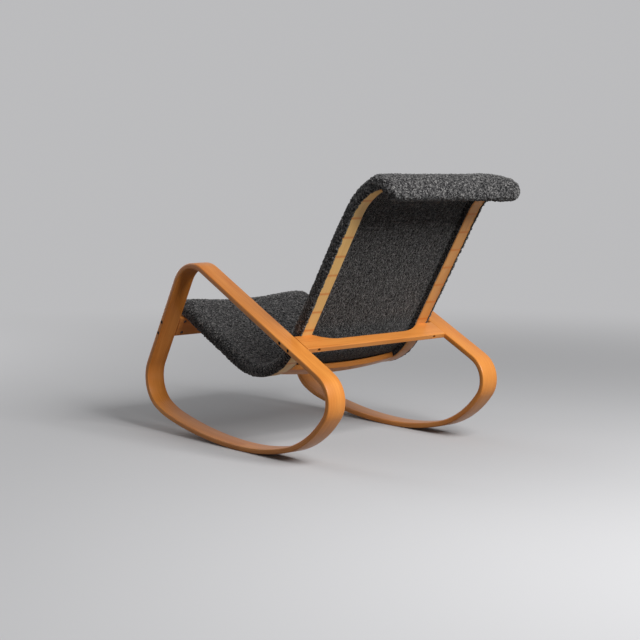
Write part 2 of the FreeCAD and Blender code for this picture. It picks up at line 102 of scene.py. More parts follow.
turned = sum(turn for radius, turn in BEFORE_ARM + [ARM_FRONT] + AFTER_POST)
last_bend = (FRONT_ROCKER_RADIUS, 360 - turned)
ARM_HEADING = sum(turn for radius, turn in BEFORE_ARM)
POST_HEADING = ARM_HEADING + ARM_FRONT[1]


def loop_runs(arm, post):
    return BEFORE_ARM + [(None, arm), ARM_FRONT, (None, post)] + AFTER_POST + [last_bend]


open_end = trace(Vector((0, 0, 0)), 0, loop_runs(0, 0))[-1]["end"]
meeting = crossing(Vector((0, 0, 0)), ARM_HEADING, -open_end, POST_HEADING)
arm_length = meeting.dot(along(ARM_HEADING))
post_length = (-open_end - meeting).dot(along(POST_HEADING))
loop_line = trace(Vector((0, 0, 0)), 0, loop_runs(arm_length, post_length))
print("arm %.4f, post %.4f," % (arm_length, post_length),
      "the ribbon closes within %.6f m" % loop_line[-1]["end"].length)

# %% [markdown]
# The seat rail is one S: a short leg, the round knee at the front edge, the flat seat, the
# wide hip bend, the backrest and the curl that leans back under the headrest. It ends just
# in front of the front crossbar, so the knee follows from the place of the loops' posts.

# %% The seat rail's line
SEAT_SLOPE, BACK_SLOPE, KNEE_TURN = 26.3, 58.5, 75.0
KNEE_RADIUS, HIP_RADIUS, CURL_RADIUS, CURL_TURN = 0.045, 0.206, 0.165, 49.5
FRONT_LEG, BACK_RUN, PAST_CROSSBAR = 0.046, 0.624, 0.001
RAIL_WIDTH, RAIL_THICKNESS = 0.042, 0.020

hip = Vector((0, 0.0493, 0.1399))
post_run = loop_line[6]
seat_end = crossing(post_run["start"], POST_HEADING, hip, -SEAT_SLOPE)
seat_end -= along(-SEAT_SLOPE) * PAST_CROSSBAR
knee_tangent = KNEE_RADIUS * math.tan(math.radians(KNEE_TURN / 2))
hip_tangent = HIP_RADIUS * math.tan(math.radians((SEAT_SLOPE + BACK_SLOPE) / 2))
knee = seat_end - along(-SEAT_SLOPE) * knee_tangent
leg_heading = KNEE_TURN - SEAT_SLOPE
rail_runs = [(None, FRONT_LEG - knee_tangent), (KNEE_RADIUS, -KNEE_TURN),
             (None, (hip - seat_end).length - hip_tangent), (HIP_RADIUS, SEAT_SLOPE + BACK_SLOPE),
             (None, BACK_RUN - hip_tangent), (CURL_RADIUS, -CURL_TURN)]
rail_line = trace(knee - along(leg_heading) * FRONT_LEG, leg_heading, rail_runs)
RAIL_LENGTH = rail_line[-1]["at"] + rail_line[-1]["length"]
print("rail length %.4f" % RAIL_LENGTH)

# %% [markdown]
# The drawing starts at the rockers' lowest point, but the frame's origin is the middle of
# the floor rectangle. The rolled front edge and the headrest roll reach furthest, so their
# middle is where the origin goes, and every line is shifted by it.

# %% Move the lines onto the frame's origin
PAD_THICKNESS, PAD_WIDTH, ROLL_DROP = 0.035, 0.507, 0.003
KNEE_AXIS_N = PAD_THICKNESS / 2

knee_axis = rail_line[0]["start"] + leftward(leg_heading) * KNEE_AXIS_N
head_axis = rail_line[-1]["end"] - leftward(rail_line[-1]["leaving"]) * ROLL_DROP
foremost = knee_axis.y - KNEE_AXIS_N
rearmost = head_axis.y + PAD_THICKNESS + ROLL_DROP
to_origin = Vector((0, -(foremost + rearmost) / 2, 0))
for piece in loop_line + rail_line:
    for key in ("start", "end", "centre"):
        if piece[key] is not None:
            piece[key] += to_origin
knee_axis += to_origin
head_axis += to_origin

BESIDE_LOOP, OVER_RAIL = 0.0155, 0.0072
LOOP_INNER_X = PAD_WIDTH / 2 + BESIDE_LOOP
RAIL_OUTER_X = PAD_WIDTH / 2 - OVER_RAIL
RAIL_INNER_X = RAIL_OUTER_X - RAIL_WIDTH
print("shift %.4f," % to_origin.y, "loop from x %.4f," % LOOP_INNER_X,
      "rail from x %.4f" % RAIL_INNER_X)

# %% [markdown]
# The camera stands where the photographer stood, behind the chair and to its left, a little
# above it. Its place was solved from the two loops, which are equal and parallel.

# %% Camera
YAW, PITCH = math.radians(41.32), math.radians(6.35)
FOCAL_PIXELS, FRAME_PIXELS, SENSOR_WIDTH = 1437, 640, 36
FROM_ROCKERS = Vector((2.80407, 3.16000, 0.82006))

camera = bpy.data.objects.new("camera", bpy.data.cameras.new("camera"))
bpy.context.scene.collection.objects.link(camera)
bpy.context.scene.camera = camera
camera.data.lens = SENSOR_WIDTH * FOCAL_PIXELS / FRAME_PIXELS
camera.data.clip_end = 50
camera.location = FROM_ROCKERS + to_origin
level = math.cos(PITCH)
looking = Vector((-math.sin(YAW) * level, -math.cos(YAW) * level, -math.sin(PITCH)))
camera.rotation_euler = looking.to_track_quat("-Z", "Y").to_euler()
print("camera at", tuple(round(v, 3) for v in camera.location))

# %% [markdown]
# Node materials are easier to read as sums than as boxes and wires. Wire wraps the output
# of a node, so that 1 - mask or a * 3 + b adds the Math nodes by itself. Finish holds one
# material, and its method node makes any other node from its type, settings and inputs.

# %% Write shader maths as expressions
class Wire:
    def __init__(self, finish, socket):
        self.finish, self.socket = finish, socket

    def math(self, operation, *others):
        inputs = dict(enumerate((self,) + others))
        return self.finish.node("Math", {"operation": operation}, inputs)

    def __add__(self, other):
        return self.math("ADD", other)

    def __mul__(self, other):
        return self.math("MULTIPLY", other)

    def __sub__(self, other):
        return self.math("SUBTRACT", other)

    def __rsub__(self, other):
        return self.finish.node("Math", {"operation": "SUBTRACT"}, {0: other, 1: self})

    def __truediv__(self, other):
        return self.math("DIVIDE", other)

    __radd__, __rmul__ = __add__, __mul__

    def between(self, low, high):
        """0 below low, 1 above high, a straight rise between them."""
        limits = {"Value": self, "From Min": low, "From Max": high}
        return self.finish.node("MapRange", {"clamp": True}, limits)


class Finish:
    def __init__(self, owner):
        """A finish for a new material with this name, or for the world."""
        self.owner = bpy.data.materials.new(owner) if isinstance(owner, str) else owner
        self.owner.use_nodes = True
        self.tree = self.owner.node_tree
        self.shader = self.tree.nodes.get("Principled BSDF")

    def feed(self, socket, value):
        """Link a wire to a socket, or set the socket to a plain value."""
        if isinstance(value, Wire):
            self.tree.links.new(value.socket, socket)
        else:
            socket.default_value = value

    def node(self, kind, settings=None, inputs=None, output=0):
        """Add a node of this kind, set it up, link or set its inputs, and wire one output."""
        made = self.tree.nodes.new("ShaderNode" + kind)
        for name, value in (settings or {}).items():
            setattr(made, name, value)
        for name, value in (inputs or {}).items():
            self.feed(made.inputs[name], value)
        return Wire(self, made.outputs[output])

    def noise(self, at, scale, detail=3.0, roughness=0.55):
        inputs = {"Vector": at, "Scale": scale, "Detail": detail, "Roughness": roughness}
        return self.node("TexNoise", {}, inputs)

    def mix(self, share, first, second):
        return self.node("Mix", {"data_type": "RGBA"}, {0: share, 6: first, 7: second}, output=2)

    def stretched(self, at, scale):
        return self.node("VectorMath", {"operation": "MULTIPLY"}, {0: at, 1: scale})

    def split(self, at):
        return [self.node("SeparateXYZ", {}, {0: at}, output=axis) for axis in range(3)]

    def surface(self, **values):
        """Feed the main shader's sockets, and give the finished material."""
        for name, value in values.items():
            self.feed(self.shader.inputs[name.replace("_", " ")], value)
        return self.owner


# %% [markdown]
# The chair's wood is a pale hardwood under a warm lacquer. Grain is long and thin because
# it follows the fibres, so noise is stretched along the piece. On a bent ribbon the fibres
# turn with the bend. Each bent piece therefore carries an attribute, unbent, with the
# distance along the piece, the place across it and the depth through it, as if it were
# straightened. The depth also shows the thin glue lines of the laminations on the sides,
# and the distance places the rails' faint darker bands, which lie at an even pitch. The
# grain's three sizes are given as noise cells to the metre along, across and through.

# %% Wood finish
def rgb(red, green, blue):
    """Linear colour from the 0 to 255 values that a picture editor shows."""
    def linear(value):
        share = value / 255
        return share / 12.92 if share <= 0.04045 else ((share + 0.055) / 1.055) ** 2.4
    return (linear(red), linear(green), linear(blue), 1.0)


def darker(colour, share):
    return tuple(value * share for value in colour[:3]) + (1.0,)


BROAD_GRAIN, FIBRES, PORES = (2.5, 22, 22), (9, 420, 420), (45, 1500, 1500)
BARE_SKIN, GLUE_BLUR = 0.001, 0.0002
BAND_PITCH, BAND_PLACE, BAND_SHARE, BAND_TINT = 0.0616, 0.9090, 0.65, rgb(214, 118, 36)


def wood(name, light, dark, layers=0, thickness=0.0, bands=0.0):
    """Lacquered wood of some laminations, with darker bands from a place along the piece."""
    finish = Finish(name)
    if layers or bands:
        at = finish.node("Attribute", {"attribute_name": "unbent"}, {}, output="Vector")
    else:
        at = finish.node("TexCoord", {}, {}, output="Object")
    length, _, depth = finish.split(at)
    broad = finish.noise(finish.stretched(at, BROAD_GRAIN), 1.0, 2.0)
    fibre = finish.noise(finish.stretched(at, FIBRES), 1.0, 4.0, 0.6)
    pores = finish.noise(finish.stretched(at, PORES), 1.0, 2.0)
    grain = broad * 0.45 + fibre * 0.4 + pores * 0.15
    colour = finish.mix(grain.between(0.36, 0.66), light, dark)
    height = fibre * 0.5 + pores * 0.5
    if layers:
        far_skin = thickness - BARE_SKIN
        inner = depth.between(BARE_SKIN - GLUE_BLUR, BARE_SKIN + GLUE_BLUR)
        inner = inner * (1 - depth.between(far_skin - GLUE_BLUR, far_skin + GLUE_BLUR))
        ply = (depth * (layers / thickness)).math("FRACT")
        glue = (ply - 0.5).math("ABSOLUTE").between(0.36, 0.5)
        colour = finish.mix(glue * inner * 0.35, colour, darker(dark, 0.5))
    if bands:
        turn = ((length - bands) / BAND_PITCH + 0.5).math("FRACT")
        line = 1 - (turn - 0.5).math("ABSOLUTE").between(0.025, 0.085)
        face = 1 - depth.between(0.0005, 0.0030)
        colour = finish.mix(line * face * BAND_SHARE, colour, BAND_TINT)
    bump = finish.node("Bump", {}, {"Strength": 0.12, "Distance": 0.0004, "Height": height})
    return finish.surface(Base_Color=colour, Roughness=broad * 0.10 + 0.34, Normal=bump,
                          Specular_IOR_Level=0.3, Coat_Weight=0.14, Coat_Roughness=0.2)


loop_wood = wood("loop_lacquered_wood", rgb(227, 149, 69), rgb(193, 109, 38), 9, RIBBON_THICKNESS)
left_rail_wood = wood("left_rail_lacquered_wood", rgb(242, 202, 130), rgb(220, 166, 92),
                      11, RAIL_THICKNESS, BAND_PLACE)
right_rail_wood = wood("right_rail_lacquered_wood", rgb(230, 166, 96), rgb(204, 132, 64),
                       11, RAIL_THICKNESS, BAND_PLACE)
board_wood = wood("board_lacquered_wood", rgb(226, 150, 74), rgb(192, 112, 44))
print("wood finishes:", loop_wood.name, left_rail_wood.name, board_wood.name)

# %% [markdown]
# A bent bar starts as a flat plane with the size of its section, standing across the line
# at its start. Its corners are bevelled, the face is taken out, and the ring of edges that
# is left is pulled along the line: extruded along each straight and spun round each bend.

# %% Bend a bar along a line
def nothing_selected():
    if bpy.context.object and bpy.context.object.mode != "OBJECT":
        bpy.ops.object.mode_set(mode="OBJECT")
    bpy.ops.object.select_all(action="DESELECT")


def pick(piece):
    """Make this the active piece and the only selected one."""
    nothing_selected()
    bpy.context.view_layer.objects.active = piece
    piece.select_set(True)


def modify(piece, kind, **settings):
    """Add a modifier, set it and apply it."""
    pick(piece)
    bpy.ops.object.modifier_add(type=kind)
    modifier = piece.modifiers[-1]
    for name, value in settings.items():
        setattr(modifier, name, value)
    bpy.ops.object.modifier_apply(modifier=modifier.name)


def section_plane(name, x, n, start, heading):
    """Upright rectangle across a line: x and n are its (lowest, highest) across and above it."""
    nothing_selected()
    middle = start + leftward(heading) * (n[0] + n[1]) / 2
    bpy.ops.mesh.primitive_plane_add(size=1, location=((x[0] + x[1]) / 2, middle.y, middle.z),
                                     rotation=(math.radians(heading + 90), 0, 0))
    plane = bpy.context.object
    plane.name = plane.data.name = name
    plane.scale = (x[1] - x[0], n[1] - n[0], 1)
    bpy.ops.object.transform_apply(location=True, rotation=True, scale=True)
    return plane


def pull(pieces, finest=0.012, sharpest=3.0, cut_straights=False):
    """In edit mode, pull the selected edges along straights and bends."""
    for piece in pieces:
        if piece["radius"] is None:
            steps = math.ceil(piece["length"] / finest) if cut_straights else 1
            step = along(piece["heading"]) * (piece["length"] / steps)
            for _ in range(steps):
                bpy.ops.mesh.extrude_region_move(TRANSFORM_OT_translate={"value": step})
        else:
            steps = max(math.ceil(abs(piece["turn"]) / sharpest),
                        math.ceil(piece["length"] / finest))
            bpy.ops.mesh.spin(steps=steps, angle=math.radians(-piece["turn"]),
                              center=piece["centre"], axis=(1, 0, 0))


def close_up():
    """Merge what meets, fill open ends and turn every face outwards."""
    bpy.ops.mesh.select_all(action="SELECT")
    bpy.ops.mesh.remove_doubles(threshold=1e-5)
    bpy.ops.mesh.fill_holes(sides=0)
    bpy.ops.mesh.select_all(action="SELECT")
    bpy.ops.mesh.normals_make_consistent(inside=False)
    bpy.ops.object.mode_set(mode="OBJECT")


def bent_bar(name, pieces, x, n, corner, segments=4):
    """Bar of rounded rectangular section, bent along a line."""
    bar = section_plane(name, x, n, pieces[0]["start"], pieces[0]["heading"])
    bpy.ops.object.mode_set(mode="EDIT")
    bpy.ops.mesh.select_all(action="SELECT")
    bpy.ops.mesh.bevel(offset=corner, segments=segments, affect="VERTICES")
    bpy.ops.mesh.select_all(action="SELECT")
    bpy.ops.mesh.delete(type="ONLY_FACE")
    bpy.ops.mesh.select_mode(type="EDGE")
    bpy.ops.mesh.select_all(action="SELECT")
    pull(pieces)
    close_up()
    return bar


# %% [markdown]
# To write the unbent attribute, each face finds the run of the line that it lies on, and
# its corners are measured from that run's start. The corners are measured face by face, so
# that the ribbon's last ring doesn't run back to zero across one face. A face may seem to
# lie beside several runs: a place past a run's end counts against that run the most, and
# the distance from the middle of the ribbon's thickness decides the rest.

# %% Straighten a bent piece on paper
PAST_END_COST = 3


def unbend(pieces, points, chosen=None):
    """Distance along the line and height above it for each point, and the run it lies on."""
    y, z = points[:, 1], points[:, 2]
    results = []
    for piece in pieces:
        heading = math.radians(piece["heading"])
        if piece["radius"] is None:
            dy, dz = y - piece["start"].y, z - piece["start"].z
            gone = dy * math.cos(heading) + dz * math.sin(heading)
            above = dz * math.cos(heading) - dy * math.sin(heading)
        else:
            side = math.copysign(1.0, piece["turn"])
            dy, dz = y - piece["centre"].y, z - piece["centre"].z
            middle = heading + math.radians(piece["turn"]) / 2
            swing = np.arctan2(dz, dy) - (middle - side * math.pi / 2)
            swing = (swing + math.pi) % (2 * math.pi) - math.pi
            gone = piece["length"] / 2 + side * swing * piece["radius"]
            above = side * (piece["radius"] - np.hypot(dy, dz))
        outside = np.maximum(0, np.maximum(-gone, gone - piece["length"]))
        off_middle = np.abs(above - RIBBON_THICKNESS / 2)
        results.append((gone + piece["at"], above, outside * PAST_END_COST + off_middle))
    gone, above, miss = (np.array(part) for part in zip(*results))
    if chosen is None:
        chosen = miss.argmin(axis=0)
    rows = np.arange(len(points))
    return gone[chosen, rows], above[chosen, rows], chosen


# %% [markdown]
# A mesh's points are read and written as one table, because a loop over many thousands of
# points is slow. The attribute is written in the same way, with one row for each corner.

# %% Read and write a mesh's points
def mesh_points(mesh):
    flat = np.empty(len(mesh.vertices) * 3)
    mesh.vertices.foreach_get("co", flat)
    return flat.reshape(-1, 3)


def mesh_normals(mesh):
    flat = np.empty(len(mesh.vertices) * 3)
    mesh.vertices.foreach_get("normal", flat)
    return flat.reshape(-1, 3)


def move_points(piece, points):
    piece.data.vertices.foreach_set("co", points.ravel())
    piece.data.update()


def write_unbent(bar, pieces):
    """Store distance along, place across and depth at each face's corners."""
    mesh = bar.data
    points = mesh_points(mesh)
    corners = np.empty(len(mesh.loops), dtype=int)
    mesh.loops.foreach_get("vertex_index", corners)
    sizes = np.array([len(face.vertices) for face in mesh.polygons])
    centres = np.array([face.center for face in mesh.polygons])
    chosen = np.repeat(unbend(pieces, centres)[2], sizes)
    gone, above, _ = unbend(pieces, points[corners], chosen)
    values = np.column_stack([gone, points[corners, 0], above])
    attribute = mesh.attributes.new("unbent", "FLOAT_VECTOR", "CORNER")
    attribute.data.foreach_set("vector", values.ravel())


# %% [markdown]
# Each crossbar is held by two bolts through each loop. The bolts' places follow from the
# lines: the board's edge next to the rail lies where the rail's line meets the loop's, and
# both bolts stand a little inside the board's edges. A hole is made as on the bench, by
# taking away a plain cylinder that is longer than the piece is wide.

# %% Drill the loops
BOARD_WIDTH, BOLT_INSET, HEAD_RECESS, DRILL_PAST = 0.063, 0.012, 0.007, 0.002
BOLT_HOLE_RADIUS, HEAD_HOLE_RADIUS = 0.00325, 0.0055


def drill(target, x, radius, place):
    """Round hole along X through a piece, between two x values."""
    nothing_selected()
    bpy.ops.mesh.primitive_cylinder_add(vertices=32, radius=radius, depth=x[1] - x[0],
                                        location=((x[0] + x[1]) / 2, place.y, place.z),
                                        rotation=(0, math.pi / 2, 0))
    bit = bpy.context.object
    modify(target, "BOOLEAN", operation="DIFFERENCE", object=bit)
    bpy.data.objects.remove(bit)


def bolt_places():
    """Middle of the ribbon's thickness where the crossbars' bolts pass, on both boards."""
    arm, post = loop_line[4], loop_line[6]
    back, seat = rail_line[4], rail_line[2]
    places = []
    for run, rail, way in ((arm, back, -1), (post, seat, 1)):
        edge = crossing(run["start"], run["heading"], rail["start"], rail["heading"])
        middle = leftward(run["heading"]) * RIBBON_THICKNESS / 2
        for inset in (BOLT_INSET, BOARD_WIDTH - BOLT_INSET):
            places.append(edge + along(run["heading"]) * way * inset + middle)
    return places


print("bolts at", [tuple(round(v, 4) for v in place) for place in bolt_places()])

# %% [markdown]
# The side loop is the ribbon bent into a ring. Four round holes are drilled through it,
# each with a wider counterbore for the black bolt head. The other loop is the same one
# turned over, so it is a mirrored copy with its own mesh.

# %% Side loops
LOOP_CORNER, RAIL_CORNER, SHARP_FROM = 0.0035, 0.0025, math.radians(35)


def smooth(piece):
    """Shade a piece smoothly, except over its sharp edges."""
    pick(piece)
    bpy.ops.object.shade_smooth_by_angle(angle=SHARP_FROM)


def mirrored(piece, name):
    """A copy with its own mesh, turned over to the chair's other side."""
    copy = piece.copy()
    copy.data = piece.data.copy()
    copy.name = copy.data.name = name
    bpy.context.scene.collection.objects.link(copy)
    pick(copy)
    bpy.ops.object.mode_set(mode="EDIT")
    bpy.ops.mesh.select_all(action="SELECT")
    bpy.ops.transform.resize(value=(-1, 1, 1), center_override=(0, 0, 0))
    bpy.ops.mesh.normals_make_consistent(inside=False)
    bpy.ops.object.mode_set(mode="OBJECT")
    return copy


loop_x = (LOOP_INNER_X, LOOP_INNER_X + RIBBON_WIDTH)
left_loop = bent_bar("left_bent_loop", loop_line, loop_x, (0, RIBBON_THICKNESS), LOOP_CORNER)
outside = loop_x[1] + DRILL_PAST
for place in bolt_places():
    drill(left_loop, (loop_x[0] - DRILL_PAST, outside), BOLT_HOLE_RADIUS, place)
    drill(left_loop, (loop_x[1] - HEAD_RECESS, outside), HEAD_HOLE_RADIUS, place)
right_loop = mirrored(left_loop, "right_bent_loop")
for loop, node in ((left_loop, "side_loop_left"), (right_loop, "side_loop_right")):
    write_unbent(loop, loop_line)
    smooth(loop)
    loop.data.materials.append(loop_wood)
    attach(loop, "root")
    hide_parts(node)
    print(loop.name, len(loop.data.polygons), "faces")

# %% [markdown]
# The two seat rails are made in the same way, as an open bar with closed ends. The right one
# has a finish of its own, whose colour is redder than the left one's.

# %% Seat rails
rail_x = (RAIL_INNER_X, RAIL_OUTER_X)
left_rail = bent_bar("left_seat_rail", rail_line, rail_x, (0, RAIL_THICKNESS), RAIL_CORNER, 3)
right_rail = mirrored(left_rail, "right_seat_rail")
for rail, node, finish in ((left_rail, "seat_rail_left", left_rail_wood),
                           (right_rail, "seat_rail_right", right_rail_wood)):
    write_unbent(rail, rail_line)
    smooth(rail)
    rail.data.materials.append(finish)
    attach(rail, "root")
    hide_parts(node)
    print(rail.name, len(rail.data.polygons), "faces")

# %% [markdown]
# The crossbars, the bowed stretcher and the fasteners keep their CAD meshes, whose shapes
# are right. Only the finish in each object's material slots changes.

# %% Finish the CAD pieces
def metal(name, colour, roughness, metallic):
    finish = Finish(name)
    at = finish.node("TexCoord", {}, {}, output="Object")
    rub = finish.noise(at, 900.0, 2.0)
    bump = finish.node("Bump", {}, {"Strength": 0.1, "Distance": 0.0001, "Height": rub})
    shade = finish.mix(rub, colour, darker(colour, 0.7))
    return finish.surface(Base_Color=shade, Roughness=rub * 0.2 + roughness,
                          Metallic=metallic, Normal=bump)


black_oxide = metal("black_oxide", rgb(34, 33, 33), 0.35, 0.6)
zinc = metal("dull_zinc", rgb(92, 90, 86), 0.45, 0.8)
dowel_wood = wood("dowel_bare_wood", rgb(214, 178, 128), rgb(190, 150, 100))
THREAD_WAVE = 2600


def woven(name, colour):
    """Plain weave, from two waves that cross. They repeat every 2.4 mm."""
    finish = Finish(name)
    at = finish.node("TexCoord", {}, {}, output="Object")
    x, y, z = finish.split(at)
    weft = (x * THREAD_WAVE).math("SINE")
    warp = ((y + z) * THREAD_WAVE).math("SINE")
    weave = weft * warp
    bump = finish.node("Bump", {}, {"Strength": 0.4, "Distance": 0.0006, "Height": weave})
    shade = finish.mix(weave.between(-1, 1), colour, darker(colour, 0.4))
    return finish.surface(Base_Color=shade, Roughness=0.85, Normal=bump)


webbing_weave = woven("black_webbing", rgb(52, 52, 54))


def dress(node, material):
    """Put a finish in every material slot of a CAD node."""
    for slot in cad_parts[node].material_slots:
        slot.material = material


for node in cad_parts:
    if "crossbar" in node or node == "bowed_stretcher":
        dress(node, board_wood)
    elif node in ("frame_bolts", "rail_screws"):
        dress(node, black_oxide)
    elif node == "barrel_nuts":
        dress(node, zinc)
    elif node == "stretcher_dowels":
        dress(node, dowel_wood)
    elif node.startswith("webbing"):
        dress(node, webbing_weave)
print("wood, metal and webbing dressed among", len(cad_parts), "CAD nodes")

# %% [markdown]
# The upholstery is a thick fabric of curled wool loops, dark grey with paler tips. The
# loops are about seven millimetres across, so most of the look is real relief in the mesh.
# The relief is also kept as an attribute, lift, from 0 in the pits to 1 on the tips. The
# finish paints shade into the pits, darkest at their bottom, and paints a highlight onto
# the tips, over the tips' somewhat paler yarn. Small curls of yarn on each loop are left to the
# bump.

# %% Looped fabric finish
CURL_SCALE, KNOT_SCALE, PATCH_SCALE, YARN_SCALE = 150.0, 170.0, 210.0, 1300.0


def looped_fabric(name, pit, body, tip):
    """Fabric of curled loops: painted shade in its pits, its body colour, and a painted highlight
    over paler yarn on its tips.
    """
    finish = Finish(name)
    at = finish.node("TexCoord", {}, {}, output="Object")
    lift = finish.node("Attribute", {"attribute_name": "lift"}, {}, output="Fac")
    waves = finish.noise(at, CURL_SCALE, 1.0, 0.5)
    curls = 1 - (waves - 0.5).math("ABSOLUTE").between(0.0, 0.16)
    knots = finish.node("TexVoronoi", {"feature": "F1"}, {"Vector": at, "Scale": KNOT_SCALE})
    yarn = finish.noise(at, YARN_SCALE, 2.0)
    height = curls * 0.6 + (1 - knots) * 0.25 + yarn * 0.15
    # Low values of shade take the pits' painted shade, high values the tips' painted highlight.
    shade = lift * 0.25 + height * 0.75
    colour = finish.mix(shade.between(0.32, 0.60), pit, body)
    patch = finish.noise(at, PATCH_SCALE, 1.0).between(0.42, 0.58)
    colour = finish.mix(shade.between(0.54, 0.74) * (patch * 0.8 + 0.2), colour, tip)
    bump = finish.node("Bump", {}, {"Strength": 1.0, "Distance": 0.0022, "Height": height})
    return finish.surface(Base_Color=colour, Roughness=yarn * 0.1 + 0.84, Normal=bump,
                          Specular_IOR_Level=0.1, Sheen_Weight=0.2, Sheen_Roughness=0.5)


# Pit colours are painted shade, tip colours painted highlight over the yarn's own paler tips.
cover_fabric = looped_fabric("looped_cover_fabric", rgb(23, 23, 24), rgb(60, 59, 60),
                             rgb(136, 134, 132))
# The lining's colours are the cover's fabric painted darker: painted shade for the cloth that
# lies under the headrest.
shaded_lining_fabric = looped_fabric("looped_lining_fabric", rgb(6, 6, 7), rgb(38, 37, 37),
                              rgb(122, 120, 118))
print("fabrics:", cover_fabric.name, shaded_lining_fabric.name)

# %% [markdown]
# The pad is modelled as a maker would build it up. A thick slab is bent along the rails, its
# underside is hollowed between the rails, and a round roll is spun at each end. Everything
# starts a little small, because the fabric swells later.

# %% Pad: slab, hollow and the two rolls
HEM_N, PAD_CORNER, PAD_INSET = 0.0006, 0.023, 0.0005
HOLLOW_X, HOLLOW_N = RAIL_INNER_X + 0.004, RAIL_THICKNESS + 0.0024
HOLLOW_LOW, HOLLOW_CORNER, HOLLOW_PAST, LEAST_EDGE = -0.010, 0.001, 0.002, 0.0001


def rounded_top(name, x, n, corner, start, heading):
    """Ring of edges across a line, with its two upper corners rounded, left in edit mode."""
    plane = section_plane(name, x, n, start, heading)
    middle = start + leftward(heading) * (n[0] + n[1]) / 2
    for part in (*plane.data.edges, *plane.data.polygons):
        part.select = False
    for vertex in plane.data.vertices:
        vertex.select = (vertex.co - middle).dot(leftward(heading)) > 0
    bpy.ops.object.mode_set(mode="EDIT")
    bpy.ops.mesh.select_mode(type="VERT")
    bpy.ops.mesh.bevel(offset=corner, segments=8, affect="VERTICES")
    bpy.ops.mesh.select_all(action="SELECT")
    bpy.ops.mesh.delete(type="ONLY_FACE")
    bpy.ops.mesh.select_mode(type="EDGE")
    bpy.ops.mesh.select_all(action="SELECT")
    return plane


def roll(name, x, n, corner, end, heading, axis, turn):
    """Closed half roll, spun about an axis across the chair."""
    part = rounded_top(name, x, n, corner, end, heading)
    bpy.ops.mesh.spin(steps=24, angle=math.radians(turn), center=axis, axis=(1, 0, 0))
    close_up()
    return part


def pad_form(inset):
    """Slab along the rails with a hollow underside and a roll at each end, joined."""
    x = (-PAD_WIDTH / 2 + inset, PAD_WIDTH / 2 - inset)
    top, corner = PAD_THICKNESS - inset, PAD_CORNER - inset
    first, last = rail_line[0], rail_line[-1]
    begin, rising = first["start"], first["heading"]
    slab = rounded_top("seat_cover", x, (HEM_N + inset / 2, top), corner, begin, rising)
    pull(rail_line)
    close_up()
    longer = dict(first, start=begin - along(rising) * HOLLOW_PAST,
                  length=first["length"] + HOLLOW_PAST)
    hollow = bent_bar("hollow", [longer] + rail_line[1:], (-HOLLOW_X, HOLLOW_X),
                      (HOLLOW_LOW, HOLLOW_N), HOLLOW_CORNER, 1)
    modify(slab, "BOOLEAN", operation="DIFFERENCE", object=hollow)
    bpy.data.objects.remove(hollow)
    head = roll("head_roll", x, (-ROLL_DROP, top), corner,
                last["end"], last["leaving"], head_axis, 180)
    height = top - KNEE_AXIS_N
    front = roll("knee_roll", x, (KNEE_AXIS_N, top), height - LEAST_EDGE,
                 begin, rising, knee_axis, -180)
    nothing_selected()
    for part in (slab, head, front):
        part.select_set(True)
    bpy.context.view_layer.objects.active = slab
    bpy.ops.object.join()
    return slab


pad = pad_form(PAD_INSET)
modify(pad, "REMESH", mode="VOXEL", voxel_size=0.005)
print("pad after remeshing:", len(pad.data.polygons), "faces")

# %% [markdown]
# The pad is shaped by moving its points, so each point first finds its place: how far along
# the rails it lies, how high above their rear face, and which way leads away from them.
# Round the two rolls that way is a spoke from the roll's axis.

# %% Find each point's place on the pad
def heading_at(gone):
    """The rails' heading in radians at a distance along them."""
    places = [rail_line[0]["at"]] + [piece["at"] + piece["length"] for piece in rail_line]
    headings = [rail_line[0]["heading"]] + [piece["leaving"] for piece in rail_line]
    return np.interp(gone, places, np.radians(headings))


def pad_place(points):
    """Distance along the rails, height, and the direction away from them, rolls included."""
    gone, above, _ = unbend(rail_line, points)
    outward = np.zeros_like(points)
    heading = heading_at(gone)
    outward[:, 1], outward[:, 2] = -np.sin(heading), np.cos(heading)
    for beyond, axis in ((gone < 0, knee_axis), (gone > RAIL_LENGTH, head_axis)):
        spoke = (points[beyond] - np.array(axis)) * (0, 1, 1)
        outward[beyond] = spoke / np.maximum(np.linalg.norm(spoke, axis=1, keepdims=True), 1e-6)
    return gone, above, outward


# %% [markdown]
# Between the rails the pad hangs on its webbing, deepest along the middle of the seat and
# hardly at all at the headrest, by a parabola across the chair. The rear cloth hangs in the
# same way. The pad's upper skin sags over its whole flat width, its lower one from rail to
# rail.

# %% Let a piece hang
SEAT_SAG, HEAD_SAG = 0.007, 0.0015
CROWN_X = PAD_WIDTH / 2 - PAD_CORNER
UPPER_SKIN_N = RAIL_THICKNESS + 0.006


def hang(piece, reach):
    """Move a piece's points towards the rails' rear, by a parabola across the chair."""
    points = mesh_points(piece.data)
    gone, above, outward = pad_place(points)
    back = rail_line[4]
    share = np.clip((gone - back["at"]) / back["length"], 0, 1)
    depth = SEAT_SAG + (HEAD_SAG - SEAT_SAG) * share
    across = np.where(above < UPPER_SKIN_N, RAIL_INNER_X, reach)
    sag = depth * np.clip(1 - (points[:, 0] / across) ** 2, 0, 1)
    move_points(piece, points - outward * sag[:, None])
    print(piece.name, "hangs by up to %.1f mm" % (sag.max() * 1000))


# %% [markdown]
# The slab is still solid where the rails are. There its skin is tucked in: it goes up the
# rail's outer side and over its top, as the real cover does before it is stapled. The flat
# underside is read as a way inwards from the pad's edge, and that way is laid anew: first
# beneath the hem, then up the rail's side, over the rail's top and up into the hollow.

# %% Tuck the skin round the rails
TUCK_GAP, ON_FACE, CLIMB_END, EDGE_KEPT = 0.0006, 0.002, 0.018, 0.001


